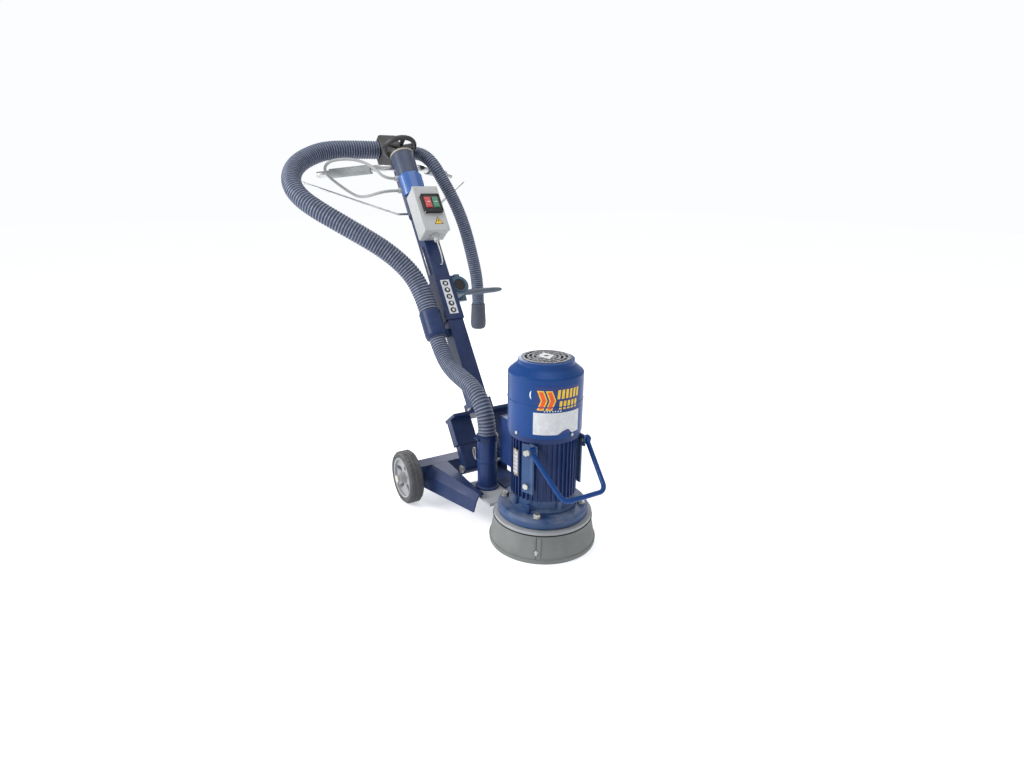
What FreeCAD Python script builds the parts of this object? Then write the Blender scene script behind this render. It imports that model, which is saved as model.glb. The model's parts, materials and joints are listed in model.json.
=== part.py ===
import FreeCAD, Part
import math
import os
import Sketcher
from types import SimpleNamespace

# Single-disc concrete grinder with an electric motor, a floating dust skirt, a tilting
# handle column on two wheels, and its suction hose.  Millimetres, +Z up, +X forwards.
# The origin is on the floor, at the middle of the machine's footprint without its hoses.

SIZES = {
    "motor_axis_x": 467.4,
    # grinding head
    "skirt_radius": 150.0,
    "skirt_top_radius": 139.0,
    "skirt_wall": 5.0,
    "skirt_top_z": 75.5,
    "housing_radius": 138.0,
    "housing_wall_radius": 129.0,
    "housing_top_z": 88.0,
    "housing_plate": 8.0,
    "tongue_length": 240.0,
    "tongue_half_width": 120.0,
    "base_radius": 126.0,
    "base_top_z": 115.0,
    "bolt_circle": 107.0,
    "disc_radius": 118.0,
    "disc_thickness": 9.0,
    "segment_height": 8.0,
    "hub_radius": 46.0,
    # motor
    "neck_radius": 82.0,
    "frame_radius": 84.0,
    "frame_bore": 80.0,
    "fin_radius": 91.0,
    "fin_thickness": 2.6,
    "frame_bottom_z": 150.0,
    "frame_top_z": 322.0,
    "shaft_radius": 14.0,
    "cowl_radius": 100.8,
    "cowl_bottom_z": 336.0,
    "cowl_shoulder_z": 494.0,
    "cowl_cone_z": 511.0,
    "cowl_cone_radius": 82.0,
    "cowl_neck_radius": 75.0,
    "cowl_top_z": 528.0,
    "cowl_wall": 2.5,
    # chassis
    "axle_x": -386.0,
    "axle_z": 82.0,
    "axle_radius": 10.0,
    "wheel_radius": 82.0,
    "wheel_width": 44.0,
    "wheel_y": 249.0,
    "rim_radius": 64.0,
    "sheet": 4.0,
    "pivot_x": -290.0,
    "pivot_z": 113.5,
    "pivot_radius": 8.0,
    # handle column
    "column_x": -385.0,
    "column_z": 280.0,
    "column_lean": 36.0,
    "foot_drop": -26.0,
    "tube_side": 54.0,
    "tube_wall": 3.0,
    "square_length": 700.0,
    "top_radius": 40.0,
    "column_length": 942.0,
    "yoke_half_width": 106.0,
    "leg_gap": 36.0,
    "box_width": 90.0,
    "box_length": 168.0,
    "box_depth": 66.0,
    "bar_radius": 12.0,
    "grip_radius": 16.5,
    "handwheel_radius": 54.0,
    # hoses
    "lower_hose": 54.0,
    "upper_hose": 64.0,
    "tail_hose": 46.0,
    "cable": 10.0,
    # fits
    "running_gap": 0.05,
    "clear_gap": 0.4,
}

X = FreeCAD.Vector(1, 0, 0)
Y = FreeCAD.Vector(0, 1, 0)
Z = FreeCAD.Vector(0, 0, 1)
SIDES = (("right", -1), ("left", 1))

doc = FreeCAD.newDocument("ConcreteGrinder")
sheet = doc.addObject("Spreadsheet::Sheet", "Sizes")


class Size:
    """A length as a number and as the sheet formula that gives it."""

    def __init__(self, value, formula=None):
        self.value = float(value)
        self.formula = formula or repr(float(value))

    def _with(self, other, sign, value):
        return Size(value, f"({self.formula} {sign} {size(other).formula})")

    def __add__(self, other):
        return self._with(other, "+", self.value + size(other).value)

    def __sub__(self, other):
        return self._with(other, "-", self.value - size(other).value)

    def __mul__(self, other):
        return self._with(other, "*", self.value * size(other).value)

    def __truediv__(self, other):
        return self._with(other, "/", self.value / size(other).value)

    def __neg__(self):
        return Size(-self.value, f"(0 - {self.formula})")

    def __radd__(self, other):
        return size(other) + self

    def __rsub__(self, other):
        return size(other) - self

    def __rmul__(self, other):
        return size(other) * self

    def __lt__(self, other):
        return self.value < size(other).value


def size(thing):
    return thing if isinstance(thing, Size) else Size(thing)


def fill_sheet():
    """Write the driving dimensions into the sheet, one named cell each."""
    named = {}
    for row, (name, value) in enumerate(SIZES.items(), start=1):
        sheet.set(f"A{row}", name)
        sheet.set(f"B{row}", str(value))
        sheet.setAlias(f"B{row}", name)
        named[name] = Size(value, f"Sizes.{name}")
    doc.recompute()
    return SimpleNamespace(**named)


D = fill_sheet()
NODES = []


def vector(x, y, z):
    return FreeCAD.Vector(size(x).value, size(y).value, size(z).value)


def place(at=(0, 0, 0), axis=Z, spin=0.0):
    """A placement at a point, with local Z turned onto axis after a spin about it."""
    turn = FreeCAD.Rotation(Z, axis) * FreeCAD.Rotation(Z, spin)
    return FreeCAD.Placement(vector(*at), turn)


def bind(thing, **lengths):
    for name, length in lengths.items():
        setattr(thing, name, size(length).value)
        thing.setExpression(name, size(length).formula)
    return thing


def cylinder(radius, height, at=(0, 0, 0), axis=Z):
    thing = bind(doc.addObject("Part::Cylinder", "Cylinder"), Radius=radius, Height=height)
    thing.Placement = place(at, axis)
    return thing


def cone(radius1, radius2, height, at=(0, 0, 0), axis=Z):
    thing = doc.addObject("Part::Cone", "Cone")
    bind(thing, Radius1=radius1, Radius2=radius2, Height=height)
    thing.Placement = place(at, axis)
    return thing


def block(low, high, spin=0.0):
    """A box between two corners, then turned about Z by spin degrees."""
    thing = doc.addObject("Part::Box", "Box")
    length, width, height = (size(b) - size(a) for a, b in zip(low, high))
    bind(thing, Length=length, Width=width, Height=height)
    turn = FreeCAD.Placement(FreeCAD.Vector(), FreeCAD.Rotation(Z, spin))
    thing.Placement = turn * place(low)
    return thing


def torus(ring_radius, tube_radius, at=(0, 0, 0), axis=Z):
    thing = doc.addObject("Part::Torus", "Torus")
    bind(thing, Radius1=ring_radius, Radius2=tube_radius)
    thing.Placement = place(at, axis)
    return thing


def hexagon(across_corners, height, at, axis=Z, spin=0.0):
    thing = doc.addObject("Part::Prism", "Hexagon")
    thing.Polygon = 6
    bind(thing, Circumradius=size(across_corners) / 2, Height=height)
    thing.Placement = place(at, axis, spin)
    return thing


def fuse(*things):
    if len(things) == 1:
        return things[0]
    joined = doc.addObject("Part::MultiFuse", "Fusion")
    joined.Shapes = list(things)
    return joined


def cut(base, *tools):
    result = doc.addObject("Part::Cut", "Cut")
    result.Base = base
    result.Tool = fuse(*tools)
    return result


def group(*things):
    """Separate solids that share one node."""
    compound = doc.addObject("Part::Compound", "Group")
    compound.Links = list(things)
    return compound


def rounded(base, radius, picks):
    """Fillet the edges whose middle point picks accepts."""
    doc.recompute()
    result = doc.addObject("Part::Fillet", "Fillet")
    result.Base = base
    chosen = []
    for number, edge in enumerate(base.Shape.Edges, start=1):
        middle = edge.valueAt((edge.FirstParameter + edge.LastParameter) / 2)
        if picks(middle):
            chosen.append((number, size(radius).value, size(radius).value))
    result.Edges = chosen
    return result


def feature(shape):
    thing = doc.addObject("Part::Feature", "Piece")
    thing.Shape = shape
    return thing


def origin_plane(body, role):
    return next(f for f in body.Origin.OriginFeatures if f.Role == role)


def outline_sketch(body, role, points):
    """A closed outline whose every corner is tied to the sheet."""
    sketch = body.newObject("Sketcher::SketchObject", "Outline")
    sketch.AttachmentSupport = [(origin_plane(body, role), "")]
    sketch.MapMode = "FlatFace"
    corners = [(size(a), size(b)) for a, b in points]
    places = [FreeCAD.Vector(a.value, b.value, 0) for a, b in corners]
    count = len(places)
    for i in range(count):
        sketch.addGeometry(Part.LineSegment(places[i], places[(i + 1) % count]))
    for i in range(count):
        sketch.addConstraint(Sketcher.Constraint("Coincident", i, 2, (i + 1) % count, 1))
    for i, corner in enumerate(corners):
        for kind, length, axis in zip(("DistanceX", "DistanceY"), corner, (-2, -1)):
            if length.value == 0:
                sketch.addConstraint(Sketcher.Constraint("PointOnObject", i, 1, axis))
                continue
            index = sketch.addConstraint(Sketcher.Constraint(kind, -1, 1, i, 1, length.value))
            sketch.renameConstraint(index, f"corner{i}{kind}")
            sketch.setExpression(f"Constraints.corner{i}{kind}", length.formula)
    return sketch


def lathe(points):
    """A turned body: the outline is (radius, height) and turns about Z."""
    body = doc.addObject("PartDesign::Body", "Turned")
    sketch = outline_sketch(body, "XZ_Plane", points)
    turned = body.newObject("PartDesign::Revolution", "Turning")
    turned.Profile = sketch
    turned.ReferenceAxis = (sketch, ["V_Axis"])
    turned.Angle = 360
    body.Tip = turned
    return body


def ring(outer, inner, low, high):
    return lathe([(inner, low), (outer, low), (outer, high), (inner, high)])


def around(count, radius, start=0.0):
    """Points on a circle about Z, with the angle of each in degrees."""
    for i in range(count):
        angle = start + 360.0 * i / count
        radians = math.radians(angle)
        yield radius * math.cos(radians), radius * math.sin(radians), angle


def smooth_path(points, bend_radius=None):
    """Straight runs joined by tangent arcs, with the arcs' radii."""
    points = [FreeCAD.Vector(*p) for p in points]
    edges = []
    radii = []
    start = points[0]
    for before, corner, after in zip(points, points[1:], points[2:]):
        back = (before - corner).normalize()
        ahead = (after - corner).normalize()
        half_turn = (math.pi - back.getAngle(ahead)) / 2
        shorter = min(before.distanceToPoint(corner), corner.distanceToPoint(after))
        radius = bend_radius or 0.45 * shorter / math.tan(half_turn)
        setback = radius * math.tan(half_turn)
        first = corner + back * setback
        last = corner + ahead * setback
        inward = (back + ahead).normalize()
        middle = corner + inward * (radius / math.cos(half_turn) - radius)
        edges.append(Part.LineSegment(start, first).toShape())
        edges.append(Part.Arc(first, middle, last).toShape())
        radii.append(radius)
        start = last
    edges.append(Part.LineSegment(start, points[-1]).toShape())
    return Part.Wire(edges), radii


def swept(points, diameter, bend_radius=None):
    """A round bar or hose along a path of straight runs and tangent arcs."""
    path, radii = smooth_path(points, bend_radius)
    first = FreeCAD.Vector(*points[0])
    direction = FreeCAD.Vector(*points[1]) - first
    section = Part.Wire(Part.makeCircle(diameter / 2, first, direction))
    shape = path.makePipeShell([section], True, False)
    return shape, radii, path.Length


# The machine's own frame has its zero under the motor; the column's frame has its zero at
# the column's foot, with Z up the column and X square to it, forwards and up.
MACHINE = place((D.motor_axis_x, 0, 0))
LEAN = FreeCAD.Rotation(Y, -D.column_lean.value)
HANDLE = FreeCAD.Placement(vector(D.column_x, 0, D.column_z), LEAN)
COLUMN = MACHINE * HANDLE


# Places in the machine's frame, and up the column for the last four.
PORT = (-195.0, -70.0, 0.0)
NOZZLE = (-786.0, 220.0, 424.8)
BAR_BACK = -24.0
BAR_S = 911.0
BAR_MIDDLE = HANDLE * FreeCAD.Vector(BAR_BACK, 0, BAR_S)
BAR = [(-1100.0, -262.0, 976.0), (BAR_MIDDLE.x, -74.0, BAR_MIDDLE.z),
       (BAR_MIDDLE.x, 74.0, BAR_MIDDLE.z), (-1100.0, 262.0, 976.0)]
ROD_HUB = HANDLE * FreeCAD.Vector(-46, 0, 735)
ROD_TIP = (-1112.0, 330.0, 955.0)
GUIDE = (4.0, -74.0)
BUTTON_S = 682.0
LEVER_PIVOT = (-94.0, 10.0, 438.0)
BUTTON_Y = (-11.0, 15.0)

BRACKET_ANGLE = 62.0
BRACKET_GAP = 0.5
BAIL_X = 72.0
BAIL_Y = 88.0
BAIL_Z = 305.0
LEG_BACK = -20.0
# Control points of the hoses and of the cable, each in order from one end to the other.
LOWER_ROUTE = [(-195, -70, 241), (-195, -70, 272), (-208, -70, 317), (-239, -71, 354),
               (-287, -72, 377), (-344, -73, 386), (-403, -74, 395), (-458, -74, 415),
               (-510.3, -74, 459.3), (-546.7, -74, 509.4)]
UPPER_ROUTE = [(-547.3, -74, 510.1), (-593.1, -74, 573.2), (-638, -89, 649), (-671, -127, 705),
               (-702, -179, 753), (-732, -237, 793), (-766, -295, 832), (-806, -347, 868),
               (-857, -385, 903), (-914, -399, 940), (-970, -386, 978), (-1018, -350, 1013),
               (-1052, -296, 1040), (-1072, -230, 1061), (-1081, -120, 1066),
               (-1081, -38.3, 1066)]
TAIL_ROUTE = [(-1058, 64.5, 1060), (-1006, 75, 1058), (-950, 91, 1048), (-908, 108, 1016),
              (-888, 132, 964), (-855, 162, 890), (-828, 188, 802), (-808, 206, 703),
              (-786, 220, 596), (-786, 220, 505)]
CABLE_ROUTE = [(-855, -53.8, 927.4), (-855, -88, 927.4), (-864, -124, 920), (-892, -152, 908),
               (-932, -172, 905), (-972, -192, 922), (-1002, -218, 946), (-1020, -244, 970),
               (-1024, -260, 998), (-1010, -244, 1022), (-992, -208, 1030),
               (-970, -170, 1030), (-946, -138, 1020), (-916, -112, 1000),
               (-884.5, -90, 967.5), (-884.5, -53.8, 967.5)]


def node(label, thing, frame=MACHINE):
    """Name a finished sub-part and move it from its own frame to the part's."""
    thing.Label = label
    thing.Placement = frame * thing.Placement
    NODES.append(thing)
    return thing


def cord(label, points, diameter):
    """A hose or cable, in the machine's frame, with its bends and volume reported."""
    shape, radii, length = swept(points, diameter.value)
    node(label, feature(shape))
    section = math.pi * diameter.value ** 2 / 4
    print(label, "length", round(length), "radii", [round(r) for r in radii],
          "volume ratio", round(shape.Volume / (section * length), 3))


# ---------------------------------------------------------------- grinding head
def dust_skirt():
    top = D.skirt_top_z
    outer = D.skirt_radius
    inner = D.skirt_top_radius
    wall = D.skirt_wall
    lip = 12
    profile = [(outer - wall - 1, 0), (outer, 0), (outer, lip - 3), (outer - 2, lip),
               (inner, top - 14), (inner, top), (inner - wall, top), (inner - wall, top - 14),
               (outer - wall - 2, lip)]
    node("dust_skirt", lathe(profile))


def shroud_housing():
    """Rim plate, inner wall and the rear tongue that carries the port and the wings."""
    top = D.housing_top_z
    under = top - D.housing_plate
    wall = D.housing_wall_radius
    dome = lathe([(30, under), (wall - 4, under), (wall - 4, 34), (wall, 34),
                  (wall, under - 1.5), (D.housing_radius, under - 1.5),
                  (D.housing_radius, top - 1), (30, top - 1)])
    tongue = block((-D.tongue_length, -D.tongue_half_width, under),
                   (-90, D.tongue_half_width, top))
    hole = cylinder(100, 60, (0, 0, 40))
    port_hole = cylinder(24, 40, (-195, -70, 60))
    bridge = cut(tongue, hole, port_hole)
    node("shroud_housing", fuse(dome, bridge))


def base_plate():
    """Thick round plate with a chamfered rim and a turned step for the motor."""
    low = D.housing_top_z
    top = D.base_top_z
    outer = D.base_radius
    profile = [(30, low), (outer - 2, low), (outer, low + 2), (outer, top - 8), (outer - 4, top - 4),
               (outer - 6, top), (30, top)]
    node("base_plate", lathe(profile))


def machine_bolts():
    """Hexagon bolt heads and washers of the base plate, the bail brackets and the bail."""
    pieces = []
    for x, y, angle in around(4, D.bolt_circle.value, 48):
        pieces.append(fuse(cylinder(11, 2, (x, y, D.base_top_z)),
                           hexagon(20, 9, (x, y, D.base_top_z + 2), spin=angle)))
    for _, side in SIDES:
        angle = BRACKET_ANGLE * side
        out = FreeCAD.Rotation(Z, angle).multVec(X)
        for z in (196, 292):
            at = out * (D.fin_radius.value + BRACKET_GAP + 5)
            pieces.append(hexagon(17, 7, (at.x, at.y, z), axis=out))
        pin = cylinder(5, 24, (BAIL_X, side * (BAIL_Y - 16), BAIL_Z), axis=Y * side)
        head = hexagon(16, 5, (BAIL_X, side * (BAIL_Y + 7), BAIL_Z), axis=Y * side)
        pieces.append(fuse(pin, head))
    node("machine_bolts", group(*pieces))


def grinding_disc():
    low = D.segment_height
    top = low + D.disc_thickness
    node("grinding_disc", ring(D.disc_radius, 12, low, top))
    blocks = []
    for _, _, angle in around(10, 1.0):
        bar = block((94, -12, 0), (114, 12, low), spin=angle)
        blocks.append(bar)
    node("diamond_segments", group(*blocks))


def drive_hub():
    low = D.segment_height + D.disc_thickness
    node("drive_hub", lathe([(D.shaft_radius, low), (D.hub_radius, low), (D.hub_radius, low + 12),
                             (28, low + 20), (28, 76), (D.shaft_radius, 76)]))


def suction_port():
    """Upright spigot on the tongue, with a bead half way up and a socket at its mouth."""
    low = D.housing_top_z
    bore = D.lower_hose / 2 + D.clear_gap
    outer = bore + 2
    profile = [(24, low), (outer + 6, low), (outer + 6, low + 5), (outer, low + 8),
               (outer, 172), (outer + 1.2, 175), (outer, 178), (outer, 258), (bore, 258),
               (bore, 240), (24, 234)]
    spigot = lathe(profile)
    spigot.Placement = place(PORT)
    node("suction_port", spigot)
    clamp = ring(outer + 3.2, outer + 0.3, 240, 254)
    clamp.Placement = place(PORT)
    screw = cylinder(3.5, 24, (PORT[0] - 12, PORT[1] - 34, 247), axis=X)
    node("hose_clamp", fuse(clamp, screw))


# ---------------------------------------------------------------- motor
def motor_foot():
    """Lower end shield: the turned foot on the base plate, with four stiffening lugs."""
    low = D.base_top_z
    top = D.frame_bottom_z
    neck = D.neck_radius
    body = lathe([(26, low), (neck + 12, low), (neck + 12, low + 7), (neck, low + 10), (neck, top),
                  (36, top), (36, top - 16), (26, top - 16)])
    lugs = [cylinder(7, top - low, (x, y, low)) for x, y, _ in around(4, 86.0, -93)]
    node("motor_foot", fuse(body, *lugs))


def motor_frame():
    low = D.frame_bottom_z
    top = D.frame_top_z
    shell = ring(D.frame_radius, D.frame_bore, low, top)
    half = D.fin_thickness / 2
    fins = []
    for _, _, angle in around(40, 1.0):
        start = D.frame_radius - 1
        fins.append(block((start, -half, low), (D.fin_radius, half, top), spin=angle))
    node("motor_frame", fuse(shell, *fins))


def motor_inside():
    """Windings, laminated rotor, shaft, bearings, upper end shield and cooling fan."""
    bore = 48.6
    core = D.frame_bore - 0.2
    node("stator_core", lathe([(bore, 178), (52, 160), (74, 160), (core, 180), (core, 280),
                               (74, 300), (52, 300), (bore, 282)]))
    shaft = D.shaft_radius
    node("rotor_core", ring(48, shaft, 180, 280))
    low = D.segment_height + D.disc_thickness + 4
    node("motor_shaft", lathe([(0, low), (shaft, low), (shaft, 340), (10, 340), (10, 408), (0, 408)]))
    seat = shaft + D.running_gap
    node("bearings", group(ring(36, seat, D.frame_bottom_z - 15.8, D.frame_bottom_z),
                           ring(30, seat, 306, 322)))
    top = D.frame_top_z
    flange = D.cowl_radius - D.cowl_wall - 0.3
    node("upper_end_shield", lathe([(30.2, 306), (36, 306), (60, top), (flange, top), (flange, top + 26),
                                    (flange - 6, top + 26), (60, top + 10), (18, top + 4),
                                    (18, top), (30.2, top)]))
    hub = ring(22, 10, 360, 400)
    blades = [block((20, -1.5, 362), (78, 1.5, 396), spin=angle) for _, _, angle in around(7, 1.0)]
    node("cooling_fan", fuse(hub, *blades))


def fan_cowl():
    """Pressed cowl: straight skirt, rolled bead, shoulder, cone and neck."""
    wall = D.cowl_wall
    outer = D.cowl_radius
    cone_r = D.cowl_cone_radius
    neck = D.cowl_neck_radius
    low = D.cowl_bottom_z
    bead = 424
    profile = [(outer - wall, low), (outer, low), (outer, bead - 3), (outer + 1, bead), (outer, bead + 3),
               (outer, D.cowl_shoulder_z), (outer - 3, D.cowl_shoulder_z + 4), (cone_r, D.cowl_cone_z),
               (neck + 1, D.cowl_cone_z + 6), (neck, D.cowl_top_z), (neck - 9, D.cowl_top_z + 2),
               (neck - 9, D.cowl_top_z - 1), (neck - wall, D.cowl_top_z - 3),
               (neck - wall, D.cowl_cone_z + 4), (cone_r - wall, D.cowl_cone_z - 2),
               (outer - 3 - wall, D.cowl_shoulder_z + 2), (outer - wall, D.cowl_shoulder_z - 2)]
    node("fan_cowl", lathe(profile))


def cowl_grille():
    """Pressed grille with rings of slots about a blank middle."""
    rim = D.cowl_neck_radius - 9.4
    top = D.cowl_top_z + 2
    sheet_metal = ring(rim, 6, top - 3, top + 1.5)
    slots = []
    for number, radius in enumerate((30, 42, 54)):
        gap = cut(cylinder(radius + 3.5, 10, (0, 0, top - 5)), cylinder(radius - 3.5, 12, (0, 0, top - 6)))
        bars = [block((0, -2, top - 6), (rim, 2, top + 6), spin=angle)
                for _, _, angle in around(8, 1.0, 22.5 * number)]
        slots.append(cut(gap, *bars))
    node("cowl_grille", cut(sheet_metal, *slots))


def terminal_box():
    low = (-150, -46, 182)
    high = (-97, 46, 322)
    shell = cut(block(low, high), block((-151, -42, 186), (-101, 42, 318)))
    neck = block((-97, -30, 205), (-80, 30, 300))
    saddle = cut(neck, cylinder(D.fin_radius + 0.3, 200, (0, 0, 180)))
    node("terminal_box", fuse(shell, saddle))
    lid = rounded(block((-157, -47, 181), (-150.2, 47, 323)), 3, lambda p: p.x < -156.5)
    node("terminal_lid", lid)


def motor_screws():
    """Cowl screws about the bottom of the cowl, and the terminal lid's four corner screws."""
    pieces = []
    for x, y, angle in around(4, D.cowl_radius.value, 10):
        out = FreeCAD.Rotation(Z, angle).multVec(X)
        pieces.append(cylinder(4.5, 3, (x, y, 343), axis=out))
    for y in (-38, 38):
        for z in (190, 314):
            pieces.append(cylinder(4, 2.6, (-157, y, z), axis=-X))
    node("motor_screws", group(*pieces))


# ---------------------------------------------------------------- bail
def bail_brackets():
    """A tangent plate on each side of the frame, with a forward ear for the bail's pin."""
    pieces = []
    for _, side in SIDES:
        low = D.fin_radius + BRACKET_GAP
        tangent = block((low, -14, 176), (low + 5, 14, 316), spin=BRACKET_ANGLE * side)
        edge = sorted((side * 75.0, side * 80.0))
        flange = block((50, edge[0], 176), (66, edge[1], 316))
        ear = block((50, edge[0], 288), (80, edge[1], 320))
        hole = cylinder(5.05, 40, (BAIL_X, side * 60, BAIL_Z), axis=Y * side)
        fins = cylinder(D.fin_radius + BRACKET_GAP, 160, (0, 0, 170))
        pieces.append(cut(fuse(tangent, flange, ear), hole, fins))
    node("bail_brackets", group(*pieces))


def bail_handle():
    """Bent round bar: two arms that hang forwards from their eyes, joined by a cross bar."""
    reach = (190.0, 208.0)
    inset = 66.0
    start = (BAIL_X + 8, BAIL_Z - 6.5)
    points = [(start[0], -BAIL_Y, start[1]), (reach[0], -inset, reach[1]),
              (reach[0], inset, reach[1]), (start[0], BAIL_Y, start[1])]
    bar, _, _ = swept(points, 13.0, 24.0)
    pieces = [feature(bar)]
    holes = []
    for _, side in SIDES:
        pieces.append(cylinder(12, 13, (BAIL_X, side * (BAIL_Y - 6.5), BAIL_Z), axis=Y * side))
        holes.append(cylinder(5.06, 30, (BAIL_X, side * (BAIL_Y - 15), BAIL_Z), axis=Y * side))
    node("bail_handle", cut(fuse(*pieces), *holes))


# ---------------------------------------------------------------- chassis
def wing_section(x, side, edge):
    """One end of a folded wing: inner lip, flat top, slope and outer wall, as a thin loop."""
    top, flat_y, slope_y, slope_z, foot_y, foot_z = edge
    t = D.sheet.value
    outer = [(123, top - 14), (123, top), (flat_y, top), (slope_y, slope_z), (foot_y, foot_z)]
    inner = [(foot_y - t, foot_z + 1), (slope_y - t, slope_z - t / 2), (flat_y - t / 2, top - t),
             (123 + t, top - t), (123 + t, top - 14)]
    corners = [FreeCAD.Vector(x, side * y, z) for y, z in outer + inner]
    return Part.makePolygon(corners + corners[:1])


def chassis_wings():
    """Folded sheets that taper from the axle beam forwards to the shroud's tongue."""
    pieces = []
    for _, side in SIDES:
        rear = wing_section(-360, side, (116, 176, 205, 92, 214, 50))
        front = wing_section(-132, side, (104, 132, 143, 84, 152, 50))
        pieces.append(feature(Part.makeLoft([rear, front], True, True)))
        edge = sorted((side * 108, side * 127))
        pad = block((-200, edge[0], D.housing_top_z), (-150, edge[1], D.housing_top_z + 5))
        pieces[-1] = fuse(pieces[-1], pad)
    node("chassis_wings", group(*pieces))


def axle_beam():
    """Box beam across the machine, bored for the axle, with a doubling plate in front."""
    x = D.axle_x
    z = D.axle_z
    beam = block((x - 26, -222, z - 26), (x + 25.6, 222, z + 34))
    bore = cylinder(D.axle_radius + 0.1, 460, (x, -230, z), axis=Y)
    node("axle_beam", cut(beam, bore))
    rod = cylinder(D.axle_radius, 560, (x, -280, z), axis=Y)
    ends = []
    for _, side in SIDES:
        ends.append(cylinder(15, 2.5, (x, side * 274.0, z), axis=Y * side))
        ends.append(hexagon(26, 9, (x, side * 276.5, z), axis=Y * side))
    node("axle", fuse(rod, *ends))


def wheels():
    """Solid ribbed tyre on a dished rim with five windows, turned about local Z."""
    half = D.wheel_width / 2
    outer = D.wheel_radius
    rim = D.rim_radius
    for name, side in SIDES:
        out = place((D.axle_x, D.wheel_y * side, D.axle_z), axis=Y * side)
        tyre = lathe([(rim, -half + 3), (outer - 6, -half), (outer - 1.5, -half + 5), (outer, -8),
                      (outer - 1.6, -7), (outer - 1.6, -5), (outer, -4), (outer, 4),
                      (outer - 1.6, 5), (outer - 1.6, 7), (outer, 8), (outer - 1.5, half - 5),
                      (outer - 6, half), (rim, half - 3)])
        node(f"tyre_{name}", tyre, MACHINE * out)
        barrel = lathe([(rim - 6, -half + 4), (rim, -half + 4), (rim, half - 4), (rim - 2, half - 1),
                        (rim - 6, half - 2)])
        web = lathe([(16, 2), (40, 0), (rim - 5, 6), (rim - 5, 13), (40, 7), (16, 10)])
        windows = [fuse(cylinder(8, 60, (x, y, -30)),
                        block((30, -8, -30), (50, 8, 30), spin=angle),
                        cylinder(8, 60, (x * 50 / 30, y * 50 / 30, -30)))
                   for x, y, angle in around(5, 30.0, 90)]
        hub = ring(17, D.axle_radius + D.running_gap, -half - 1, half + 2)
        spokes = cut(web, *windows)
        node(f"rim_{name}", fuse(barrel, spokes, hub), MACHINE * out)


def pivot_bracket():
    """Two ears on the tongue and the pin that the yoke's legs turn on."""
    low = D.housing_top_z
    foot = block((-330, -34, low), (-238, 34, low + 6))
    strap = block((-244, -34, low), (-150, 34, low + 6))
    ears = [block((-330, min(side * 28, side * 34), low), (-252, max(side * 28, side * 34), low + 52))
            for _, side in SIDES]
    hole = cylinder(D.pivot_radius + 0.1, 90, (D.pivot_x, -45, D.pivot_z), axis=Y)
    node("pivot_bracket", cut(fuse(foot, strap, *ears), hole))
    pin = cylinder(D.pivot_radius, 216, (D.pivot_x, -108, D.pivot_z), axis=Y)
    heads = [cylinder(12, 4, (D.pivot_x, side * 107.0, D.pivot_z), axis=Y * side)
             for _, side in SIDES]
    node("pivot_pin", fuse(pin, *heads))


# ---------------------------------------------------------------- handle column
def yoke():
    """Cross plate under the column with a socket, and the two box legs that hang from it."""
    half = D.yoke_half_width
    foot = D.foot_drop
    cross = block((-46, -half, foot - 9), (32, half, foot))
    socket = cut(block((-34, -34, foot), (34, 34, foot + 34)),
                 block((-27.2, -27.2, foot), (27.2, 27.2, foot + 36)))
    node("yoke_head", fuse(cross, socket), COLUMN)
    to_pivot = COLUMN.inverse() * (MACHINE * vector(D.pivot_x, 0, D.pivot_z))
    legs = []
    for _, side in SIDES:
        inner = side * D.leg_gap.value
        outer = side * half.value
        wide = sorted((inner, outer))
        slim = sorted((inner, outer - side * 6))
        upper = block((LEG_BACK - 17, wide[0], foot - 92), (LEG_BACK + 17, wide[1], foot - 9.1))
        lower = block((LEG_BACK - 14, slim[0], to_pivot.z), (LEG_BACK + 14, slim[1], foot - 90))
        eye = cylinder(15, slim[1] - slim[0], (to_pivot.x, slim[0], to_pivot.z), axis=Y)
        bore = cylinder(D.pivot_radius + D.running_gap, 100, (to_pivot.x, wide[0] - 5, to_pivot.z), axis=Y)
        legs.append(cut(fuse(upper, lower, eye), bore))
    node("yoke_legs", group(*legs), COLUMN)


def column_tubes():
    half = D.tube_side / 2
    inside = half - D.tube_wall
    end = D.square_length
    start = D.foot_drop
    square = cut(block((-half, -half, start), (half, half, end)),
                 block((-inside, -inside, start - 1), (inside, inside, end + 1)))
    x, y, z = LEVER_PIVOT
    cheeks = [block((x + dx, y - 15, z - 14), (x + dx + 5, y + 12, z + 14)) for dx in (-15, 10)]
    back = block((x + 10, -20, z + 9), (-26.5, y - 15, z + 22))
    web = block((x - 15, y - 20, z - 14), (x + 15, y - 15, z + 22))
    pin = cylinder(5, 34, (x - 17, y, z), axis=X)
    node("lower_column", fuse(square, *cheeks, back, web, pin), COLUMN)
    over = half + 0.3
    sleeve = cut(block((-half - 4, -half - 4, 290), (half + 4, half + 4, 445)),
                 block((-over, -over, 289), (over, over, 446)))
    node("column_sleeve", sleeve, COLUMN)
    top = D.column_length
    radius = D.top_radius
    tube = lathe([(0, end), (radius, end), (radius, top), (radius - 3, top),
                  (radius - 3, end + 6), (0, end + 6)])
    bar_hole = cylinder(D.bar_radius + 0.1, 160, (BAR_BACK, -80, BAR_S), axis=Y)
    arm = block((-72, -15, 862), (-66, 15, 1003))
    arm_foot = block((-67, -15, 862), (-38, 15, 886))
    holder = block((-58, -16, 725), (-37, 16, 745))
    rod_hole = cylinder(4.52, 60, (-46, -30, 735), axis=Y)
    node("upper_column", cut(fuse(tube, arm, arm_foot, holder), bar_hole, rod_hole), COLUMN)
    seat = 8 + D.running_gap
    node("tube_end_ring", lathe([(seat, top), (radius + 1.5, top), (radius + 1.5, top + 7), (seat, top + 9)]),
         COLUMN)


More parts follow.
